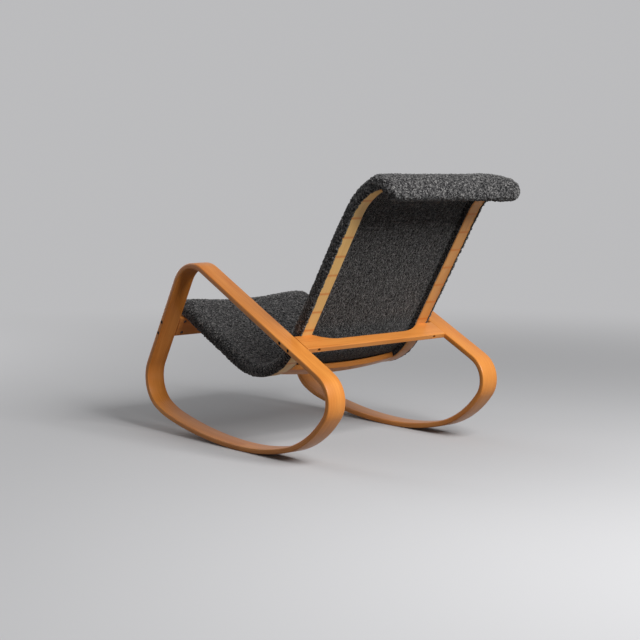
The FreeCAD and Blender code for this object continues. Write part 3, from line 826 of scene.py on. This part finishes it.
def tuck(piece, inset):
    """Lay the solid underside over each rail: along its outer side, then over its top."""
    points = mesh_points(piece.data)
    gone, above, _ = pad_place(points)
    across, low = np.abs(points[:, 0]), HEM_N + inset / 2
    outer, wall, top = PAD_WIDTH / 2 - inset, RAIL_OUTER_X + TUCK_GAP, RAIL_THICKNESS + TUCK_GAP
    below = np.abs(above - low) < ON_FACE
    beside = (np.abs(across - HOLLOW_X) < ON_FACE) & (above < HOLLOW_N + 0.001) & ~below
    way = np.where(beside, outer - HOLLOW_X + above - low, outer - across)
    marks = [0, outer - wall, CLIMB_END, outer - HOLLOW_X, outer - HOLLOW_X + HOLLOW_N - low]
    new_x = np.interp(way, marks, [outer, wall, wall, HOLLOW_X, HOLLOW_X])
    new_n = np.interp(way, marks, [low, low, top, top, HOLLOW_N])
    chosen = (below | beside) & (gone > 0) & (gone < RAIL_LENGTH) & (way > EDGE_KEPT)
    chosen &= across > HOLLOW_X - ON_FACE
    up = np.zeros_like(points)
    heading = heading_at(gone)
    up[:, 1], up[:, 2] = -np.sin(heading), np.cos(heading)
    moved = points + up * (new_n - above)[:, None]
    moved[:, 0] = np.sign(points[:, 0]) * new_x
    points[chosen] = moved[chosen]
    move_points(piece, points)
    print("tucked", chosen.sum(), "points round the rails")


tuck(pad, PAD_INSET)
hang(pad, CROWN_X)

# %% [markdown]
# Seen along the front edge, the seat is fuller towards its two corners than in its middle.
# The skin is raised there by a few millimetres, in a soft wave across the chair that fades
# out along the seat and down the pad's sides.

# %% Stuff the front corners
FRONT_STUFFING, FULLER_FROM, FULLEST_AT, EASED_OVER = 0.0055, 0.04, 0.19, 0.06
STUFFED_FROM, STUFFED_OVER = -0.055, 0.20


def stuff_front(piece):
    """Raise the front edge towards its two corners, which are stuffed fuller than its middle."""
    points = mesh_points(piece.data)
    gone, above, outward = pad_place(points)
    off_middle = np.abs(points[:, 0])
    across = np.clip((off_middle - FULLER_FROM) / (FULLEST_AT - FULLER_FROM), 0, 1)
    beyond = np.clip((off_middle - FULLEST_AT) / EASED_OVER, 0, 1)
    share = (1 - np.cos(math.pi * across)) / 2 * (1 - 0.4 * beyond ** 2)
    share *= np.sin(math.pi * np.clip((gone - STUFFED_FROM) / STUFFED_OVER, 0, 1))
    share *= np.clip(above / PAD_THICKNESS, 0, 1) ** 2
    move_points(piece, points + outward * (FRONT_STUFFING * share)[:, None])
    print("front raised by up to %.1f mm" % (share.max() * FRONT_STUFFING * 1000))


stuff_front(pad)

# %% [markdown]
# The headrest isn't a true roll. Seen from the side its upper shoulder is wide and its nose
# droops to a tighter lower corner, because the stuffing settles. Two arcs that touch at the
# nose give that outline, and each point of the roll moves in or out to follow it. The wide
# arc goes on over the end of the curl, which is measured along the rails here.

# %% Headrest outline
SHOULDER, SHOULDER_RADIUS = (-0.0175, -0.0177), 0.055
CORNER, CORNER_RADIUS = (0.0165, -0.0177), 0.021
ROLL_RADIUS, ARC_FROM, ARC_TO = PAD_THICKNESS + ROLL_DROP, math.radians(110), math.radians(-90)
SHOULDER_BEFORE, SHOULDER_BELOW, SHOULDER_LENGTH = 0.0200, 0.0178, 0.0375
SHOULDER_PLUMP, PLUMP_LENGTH = 0.003, 0.075


def headrest_reach(angles):
    """Distance from the roll's axis to the outline in each direction of the side view."""
    steps = np.linspace(ARC_FROM, ARC_TO, 240)
    centre = np.where(steps[:, None] > 0, SHOULDER, CORNER)
    radius = np.where(steps > 0, SHOULDER_RADIUS, CORNER_RADIUS)
    outline = centre + radius[:, None] * np.column_stack([np.cos(steps), np.sin(steps)])
    bearing = np.arctan2(outline[:, 1], outline[:, 0])
    order = np.argsort(bearing)
    return np.interp(angles, bearing[order], np.hypot(*outline.T)[order])


def shape_roll(points, in_roll, inset):
    """Move the roll's points onto the outline."""
    spoke = points[:, 1:] - np.array(head_axis)[1:]
    stretch = headrest_reach(np.arctan2(spoke[:, 1], spoke[:, 0])) / (ROLL_RADIUS - inset)
    points[in_roll, 1:] += (spoke * (stretch - 1)[:, None])[in_roll]


def raise_shoulder(points, before_end, above, outward, inset):
    """Carry the wide arc on over the end of the curl, and plump it up a little."""
    chord = np.maximum(SHOULDER_RADIUS ** 2 - (before_end - SHOULDER_BEFORE) ** 2, 0)
    rise = np.sqrt(chord) - SHOULDER_BELOW - PAD_THICKNESS + inset
    shoulder = (before_end >= 0) & (before_end < SHOULDER_LENGTH)
    share = np.clip(above / PAD_THICKNESS, 0, 1) ** 2
    points[shoulder] += (outward * (rise * share)[:, None])[shoulder]
    plump = SHOULDER_PLUMP * np.sin(math.pi * np.clip(before_end / PLUMP_LENGTH, 0, 1)) * share
    points += outward * plump[:, None]


print("headrest reaches", np.round(headrest_reach(np.radians([90, 45, 0, -45])), 4))

# %% [markdown]
# The two ends of the headrest differ, as they do on a chair that has been sat in. At the
# left end the cover is drawn up under the roll, and at the right end it has sunk and bulges
# out to the side. A place across the chair is given as side, from -1 at the pad's right
# edge to 1 at its left, and each change grows from some place towards an edge.

# %% Headrest ends
DRAWN_UP, DRAWN_FROM, UNDERSIDE_TILT, UNDER_SHARE = 0.018, 0.78, 0.0045, 0.15
RIGHT_SUNK, RIGHT_FROM, LEFT_SUNK, LEFT_FROM, SUNK_POWER = 0.018, 0.62, 0.007, 0.80, 1.3
TOP_LEAN, UPPER_FROM, SUNK_LENGTH = 0.0015, 0.005, 0.06
END_BULGE, BULGE_FROM, BULGE_HEIGHT, BULGE_REACH = 0.007, 0.5, -0.015, 0.04


def towards(side, start):
    """0 up to a place across the chair, and from there a straight rise to 1 at the edge."""
    return np.clip((side - start) / (1 - start), 0, 1)


def wear_ends(points, in_roll, before_end):
    """Draw the left end up, sink both ends' tops and let the right end bulge."""
    side = points[:, 0] / (PAD_WIDTH / 2)
    height = points[:, 2] - head_axis.z
    lifted = UNDERSIDE_TILT * (1 + side) + towards(side, DRAWN_FROM) ** 2 * DRAWN_UP
    lifted *= np.clip(UNDER_SHARE - height / ROLL_RADIUS, 0, 1)
    points[in_roll, 2] += lifted[in_roll]
    sunk = towards(-side, RIGHT_FROM) ** SUNK_POWER * RIGHT_SUNK
    sunk += towards(side, LEFT_FROM) ** SUNK_POWER * LEFT_SUNK - (1 + side) * TOP_LEAN
    sunk *= np.clip((height - UPPER_FROM) / ROLL_RADIUS, 0, 1)
    points[:, 2] -= sunk * np.clip(1 - before_end / SUNK_LENGTH, 0, 1)
    bulge = np.clip(1.2 - np.abs(height - BULGE_HEIGHT) / BULGE_REACH, 0, 1) * END_BULGE
    points[in_roll, 0] -= (towards(-side, BULGE_FROM) * bulge)[in_roll]


def settle_headrest(piece, inset):
    """Give the pad's upper end its outline, its shoulder and its worn ends."""
    points = mesh_points(piece.data)
    gone, above, outward = pad_place(points)
    in_roll = (gone > RAIL_LENGTH) | ((above < -ROLL_DROP) & (gone > RAIL_LENGTH - 0.01))
    shape_roll(points, in_roll, inset)
    raise_shoulder(points, RAIL_LENGTH - gone, above, outward, inset)
    wear_ends(points, in_roll, RAIL_LENGTH - gone)
    move_points(piece, points)
    print("settled", in_roll.sum(), "points of the headrest roll")


settle_headrest(pad, PAD_INSET)

# %% [markdown]
# The stuffing presses the fabric outwards. A cloth simulation with a little air pressure
# swells the skin. Each point is then kept within three millimetres of where it began and
# never moves inwards, so that the pad keeps its measured shape and its corners stay full.
# The points that lie on the rails are held.

# %% Swell the pad
SWELL_PRESSURE, SWELL_FRAMES, SWELL_LIMIT = 12.0, 8, 0.003


def against_rails(points, over, beside, past):
    """The skin that lies on the rails and between them, up to so far over and beside them."""
    gone, above, _ = pad_place(points)
    near = (above < RAIL_THICKNESS + over) & (np.abs(points[:, 0]) < RAIL_OUTER_X + beside)
    return near & (gone > -past) & (gone < RAIL_LENGTH + past)


def swell(piece, pressure, frames, limit):
    """Blow the skin up with a cloth simulation, but no point further than the limit."""
    before, normals = mesh_points(piece.data), mesh_normals(piece.data)
    held = piece.vertex_groups.new(name="held")
    on_rails = against_rails(before, over=0.004, beside=0.002, past=0)
    held.add(np.flatnonzero(on_rails).tolist(), 1.0, "REPLACE")
    pick(piece)
    bpy.ops.object.modifier_add(type="CLOTH")
    cloth = piece.modifiers[-1]
    cloth.settings.quality = 3
    cloth.settings.use_pressure = True
    cloth.settings.uniform_pressure_force = pressure
    cloth.settings.effector_weights.gravity = 0
    cloth.settings.vertex_group_mass = held.name
    for number in range(1, frames + 1):
        bpy.context.scene.frame_set(number)
    bpy.ops.object.modifier_apply(modifier=cloth.name)
    bpy.context.scene.frame_set(1)
    step = mesh_points(piece.data) - before
    outwards = (step * normals).sum(axis=1)
    step += normals * np.maximum(0, -outwards)[:, None]
    length = np.linalg.norm(step, axis=1)
    least, most = np.percentile(length, (20, 95)) * 1000
    print("swelled by %.1f to %.1f mm before the limit" % (least, most))
    kept = np.minimum(1, limit / np.maximum(length, 1e-9))
    move_points(piece, before + step * kept[:, None])


def measure(piece, title):
    """Print the pad's thickness and half width along the middle of the backrest."""
    points = mesh_points(piece.data)
    gone, above, _ = pad_place(points)
    across, back = np.abs(points[:, 0]), rail_line[4]
    part = (gone > back["at"] + 0.05) & (gone < back["at"] + back["length"] - 0.05)
    inner = part & (across < 0.20) & (above > 0.027)
    outer = part & (across > RAIL_OUTER_X + 0.003) & (above > 0.005) & (above < 0.012)
    print(title, "thickness %.1f mm," % (above[inner].mean() * 1000),
          "half width %.1f mm" % (across[outer].mean() * 1000))


measure(pad, "pad before swelling:")
swell(pad, SWELL_PRESSURE, SWELL_FRAMES, SWELL_LIMIT)
measure(pad, "pad after swelling:")

# %% [markdown]
# Where the front turns to the sides the real pad is filled out more than a swelling can
# do. Its rounded edge is pushed out along its normals, and less at the start of the curl,
# where the cover is stretched tight.

# %% Fill the edge between front and sides
CORNER_FILL, FILLED_ABOVE = 0.0032, 0.012
CURL_START, CURL_BLEND, CURL_EASE = 0.125, 0.045, 0.75


def fill_corners(piece, amount):
    """Push the skin out where it turns to the sides, less where the curl stretches it."""
    points, normals = mesh_points(piece.data), mesh_normals(piece.data)
    gone, above, outward = pad_place(points)
    turning = 2 * np.abs(normals[:, 0]) * (normals * outward).sum(axis=1)
    stretched = np.exp(-((RAIL_LENGTH - gone - CURL_START) / CURL_BLEND) ** 2)
    share = np.clip(turning, 0, 1) * (above > FILLED_ABOVE) * (1 - CURL_EASE * stretched)
    move_points(piece, points + normals * (amount * share)[:, None])


fill_corners(pad, CORNER_FILL)
measure(pad, "pad with filled edges:")

# %% [markdown]
# The cover's lower edge reaches a little round each rail's outer corner. The skin there
# moves down over the rail's side, more along the back than under the seat, and its lip
# turns inwards. The mesh is made finer first, because the fabric's loops need it too.

# %% Fold the hem round the rails
HEM_DROP, HEM_FROM, HEM_FADE, HEM_GROWS_OVER = 0.0036, 0.006, 0.004, 0.15
HEM_LIP, LIP_FROM, LIP_WIDTH = 0.0055, 0.004, 0.002


def fold_hem(piece):
    """Let the cover's lower edge reach a little round each rail's outer corner."""
    points = mesh_points(piece.data)
    gone, above, _ = pad_place(points)
    across = np.abs(points[:, 0])
    beside = (gone > 0) & (gone < RAIL_LENGTH) & (across > RAIL_OUTER_X - 0.0005)
    low, lip = beside & (above < HEM_FROM), beside & (above < LIP_FROM)
    heading = heading_at(gone)
    down = np.column_stack([np.zeros(len(points)), np.sin(heading), -np.cos(heading)])
    along_back = np.clip((gone - rail_line[4]["at"]) / HEM_GROWS_OVER, 0, 1)
    drop = HEM_DROP * (0.5 + 0.5 * along_back) * np.clip((HEM_FROM - above) / HEM_FADE, 0, 1)
    points[low] += (down * drop[:, None])[low]
    inwards = HEM_LIP * np.clip((PAD_WIDTH / 2 - LIP_WIDTH - across) / LIP_WIDTH, 0, 1)
    points[lip, 0] -= (np.sign(points[:, 0]) * inwards)[lip]
    move_points(piece, points)
    print("folded", low.sum(), "points of the hem")


modify(pad, "SUBSURF", levels=1, render_levels=1)
fold_hem(pad)

# %% [markdown]
# The loops of the fabric are pushed out of the mesh by textures that are read in the
# piece's own space, so they have the same size everywhere. A cell pattern gives the single
# loops and a cloud pattern makes some of them stand higher than others. The skin that lies
# against the rails and the webbing stays plain, because nobody sees it.

# %% Raise the fabric's loops
LOOP_SIZE, COVER_RELIEF, LINING_RELIEF = 0.0075, 0.0042, 0.0026


def raise_loops(piece, size, height, visible):
    """Push the skin out where it is visible, and store the relief as an attribute."""
    pile = piece.vertex_groups.new(name="pile")
    pile.add(np.flatnonzero(visible).tolist(), 1.0, "REPLACE")
    before, normals = mesh_points(piece.data), mesh_normals(piece.data)
    for kind, scale, share in (("VORONOI", size, -1.0), ("CLOUDS", size * 0.8, 0.9)):
        texture = bpy.data.textures.new(piece.name + "_" + kind.lower(), kind)
        texture.noise_scale = scale
        modify(piece, "DISPLACE", texture=texture, strength=share * height, mid_level=0.45,
               texture_coords="LOCAL", vertex_group=pile.name)
    lift = ((mesh_points(piece.data) - before) * normals).sum(axis=1)
    low, high = np.percentile(lift[visible], (3, 97))
    attribute = piece.data.attributes.new("lift", "FLOAT", "POINT")
    attribute.data.foreach_set("value", np.clip((lift - low) / (high - low), 0, 1))
    print(piece.name, "relief %.1f mm" % ((high - low) * 1000))


print("pad in finer mesh:", len(pad.data.polygons), "faces")
points = mesh_points(pad.data)
hidden = against_rails(points, over=0.005, beside=0.0015, past=0.001)
hidden &= pad_place(points)[1] > -0.001
raise_loops(pad, LOOP_SIZE, COVER_RELIEF, ~hidden)


def soft_finish(piece, finish, slot, *nodes):
    """Give a piece its finish, and hide the CAD nodes that it stands for."""
    piece.data.materials.clear()
    piece.data.materials.append(finish)
    for face in piece.data.polygons:
        face.use_smooth = True
    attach(piece, "root")
    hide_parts(*nodes)
    print(piece.name, len(piece.data.polygons), "faces")


soft_finish(pad, cover_fabric, "cover_fabric", "fabric_cover", "foam_pad")

# %% [markdown]
# Behind the webbing a piece of the same fabric is stretched from rail to rail. Its colours
# are the cover's painted darker, as painted shade for the cloth under the headrest. It turns
# down by 12 mm along the inner side of each rail, which hides the webbing's ends. At the
# bowed stretcher the turned-down edge is cut away, because the stretcher is fixed there. It
# is a flat sheet that is only stretched, so it is pulled along the rails' line as one grid
# and gets its thickness last.

# %% Rear lining
LINING_N, LINING_THICKNESS, LINING_EDGE_N = 0.0183, 0.002, 0.002
LINING_GAP, LINING_CORNER = 0.0025, 0.005
GRID = 0.004


def select_edges(piece, wanted):
    """Select the edges whose two ends pass a test, and go into edit mode."""
    bpy.ops.object.mode_set(mode="OBJECT")
    for edge in piece.data.edges:
        edge.select = wanted(*[piece.data.vertices[i].co for i in edge.vertices])
    bpy.ops.object.mode_set(mode="EDIT")


def lining_form():
    """Grid of one layer along the rails' inner sides and across them, open at both ends."""
    first, reach = rail_line[0], RAIL_INNER_X - LINING_GAP
    up = leftward(first["heading"])
    sheet = rounded_top("rear_cloth", (-reach, reach), (LINING_EDGE_N, LINING_N),
                        LINING_CORNER, first["start"], first["heading"])
    low = first["start"] + up * (LINING_EDGE_N + 0.001)
    select_edges(sheet, lambda a, b: (a - low).dot(up) < 0 and (b - low).dot(up) < 0)
    bpy.ops.mesh.delete(type="EDGE")
    select_edges(sheet, lambda a, b: abs(a.x - b.x) > reach)
    bpy.ops.mesh.subdivide(number_cuts=round(2 * reach / GRID))
    select_edges(sheet, lambda a, b: abs(a.x - b.x) < 1e-5)
    bpy.ops.mesh.subdivide(number_cuts=2)
    bpy.ops.mesh.select_all(action="SELECT")
    pull(rail_line, finest=GRID, sharpest=5.0, cut_straights=True)
    bpy.ops.mesh.select_all(action="SELECT")
    bpy.ops.mesh.remove_doubles(threshold=1e-5)
    bpy.ops.object.mode_set(mode="OBJECT")
    return sheet


STRETCHER_HEADING, STRETCHER_WIDTH, STRETCHER_GAP = 24.0, 0.045, 0.002


def clear_stretcher(sheet):
    """Cut the sheet's turned-down edges away where the stretcher meets the rails."""
    bend = rail_line[3]
    middle = bend["at"] + bend["radius"] * math.radians(STRETCHER_HEADING - bend["heading"])
    gone, above, _ = unbend(rail_line, mesh_points(sheet.data))
    taken = np.abs(gone - middle) < STRETCHER_WIDTH / 2 + STRETCHER_GAP
    taken &= above < LINING_N - 0.003
    for part in (*sheet.data.edges, *sheet.data.polygons):
        part.select = False
    sheet.data.vertices.foreach_set("select", taken)
    pick(sheet)
    bpy.ops.object.mode_set(mode="EDIT")
    bpy.ops.mesh.select_mode(type="VERT")
    bpy.ops.mesh.delete(type="VERT")
    bpy.ops.mesh.select_all(action="SELECT")
    bpy.ops.mesh.normals_make_consistent(inside=False)
    bpy.ops.object.mode_set(mode="OBJECT")


lining = lining_form()
clear_stretcher(lining)
hang(lining, RAIL_INNER_X)
raise_loops(lining, LOOP_SIZE, LINING_RELIEF, np.ones(len(lining.data.vertices), dtype=bool))
modify(lining, "SOLIDIFY", thickness=LINING_THICKNESS, offset=0)
soft_finish(lining, shaded_lining_fabric, "lining_cloth", "rear_lining")

# %% [markdown]
# The floor is plain and pale, and so wide that its edge is far away, where it fades into
# the backdrop. It is pale to the camera, but sends only a little light back up, so that the
# undersides stay as dark as they are in the photograph.

# %% Floor
PALE = (0.50, 0.50, 0.51, 1)
FLOOR_SEEN, FLOOR_LIT = (0.56, 0.56, 0.57, 1), (0.18, 0.18, 0.18, 1)
FADE_FROM, FADE_TO, FLOOR_SIZE = 0.9, 4.0, 400


def seen_directly(finish):
    """1 for camera, mirror and glass rays, 0 for the rays that carry light."""
    camera_ray, glossy_ray, clear_ray = (
        finish.node("LightPath", {}, {}, output=name)
        for name in ("Is Camera Ray", "Is Glossy Ray", "Is Transmission Ray"))
    return camera_ray.math("MAXIMUM", glossy_ray.math("MAXIMUM", clear_ray))


floor_finish = Finish("pale_floor")
to_camera = seen_directly(floor_finish)
floor_colour = floor_finish.mix(to_camera, FLOOR_LIT, FLOOR_SEEN)
floor_finish.surface(Base_Color=floor_colour, Roughness=0.85)
spot = floor_finish.node("TexCoord", {}, {}, output="Object")
away = floor_finish.node("VectorMath", {"operation": "LENGTH"}, {0: spot}, output="Value")
fade = floor_finish.node("MapRange", {"interpolation_type": "SMOOTHSTEP"},
                         {"Value": away, "From Min": FADE_FROM, "From Max": FADE_TO})
glow = floor_finish.node("Emission", {}, {"Color": PALE, "Strength": 1.0})
shader = Wire(floor_finish, floor_finish.shader.outputs[0])
floor_mix = floor_finish.node("MixShader", {}, {0: fade * to_camera, 1: shader, 2: glow})
floor_finish.feed(floor_finish.tree.nodes["Material Output"].inputs["Surface"], floor_mix)
nothing_selected()
bpy.ops.mesh.primitive_plane_add(size=FLOOR_SIZE)
floor = bpy.context.object
floor.name = "floor"
floor.data.materials.append(floor_finish.owner)
print("floor fades out between", FADE_FROM, "and", FADE_TO, "m")

# %% [markdown]
# Two large soft lamps show the chair as a studio would. The main lamp hangs high behind the
# chair, so the headrest is bright and the cloth below it lies in shade, and a weaker one
# lights the front. The world is pale to the camera and gives only a faint light.

# %% Backdrop and lamps
WORLD_LIGHT, WORLD_COLOUR, LAMP_AIM = 0.13, (0.80, 0.81, 0.83, 1), Vector((0, 0, 0.4))

world = bpy.data.worlds.new("studio")
bpy.context.scene.world = world
studio = Finish(world)
light_only = studio.node("Background", {}, {"Color": WORLD_COLOUR, "Strength": WORLD_LIGHT})
backdrop = studio.node("Background", {}, {"Color": PALE, "Strength": 1.0})
both = studio.node("MixShader", {}, {0: seen_directly(studio), 1: light_only, 2: backdrop})
studio.feed(studio.tree.nodes["World Output"].inputs["Surface"], both)


def lamp(name, place, watts, size):
    """Square soft lamp that faces the chair."""
    light = bpy.data.lights.new(name, "AREA")
    light.energy, light.size = watts, size
    holder = bpy.data.objects.new(name, light)
    bpy.context.scene.collection.objects.link(holder)
    holder.location = place
    holder.rotation_euler = (LAMP_AIM - Vector(place)).to_track_quat("-Z", "Y").to_euler()
    print(name, watts, "W")


lamp("main_light", (0.1, 2.9, 2.5), 156, 1.8)
lamp("front_light", (0.6, -3.4, 1.5), 50, 2.6)
bpy.context.scene.view_settings.view_transform = "Standard"
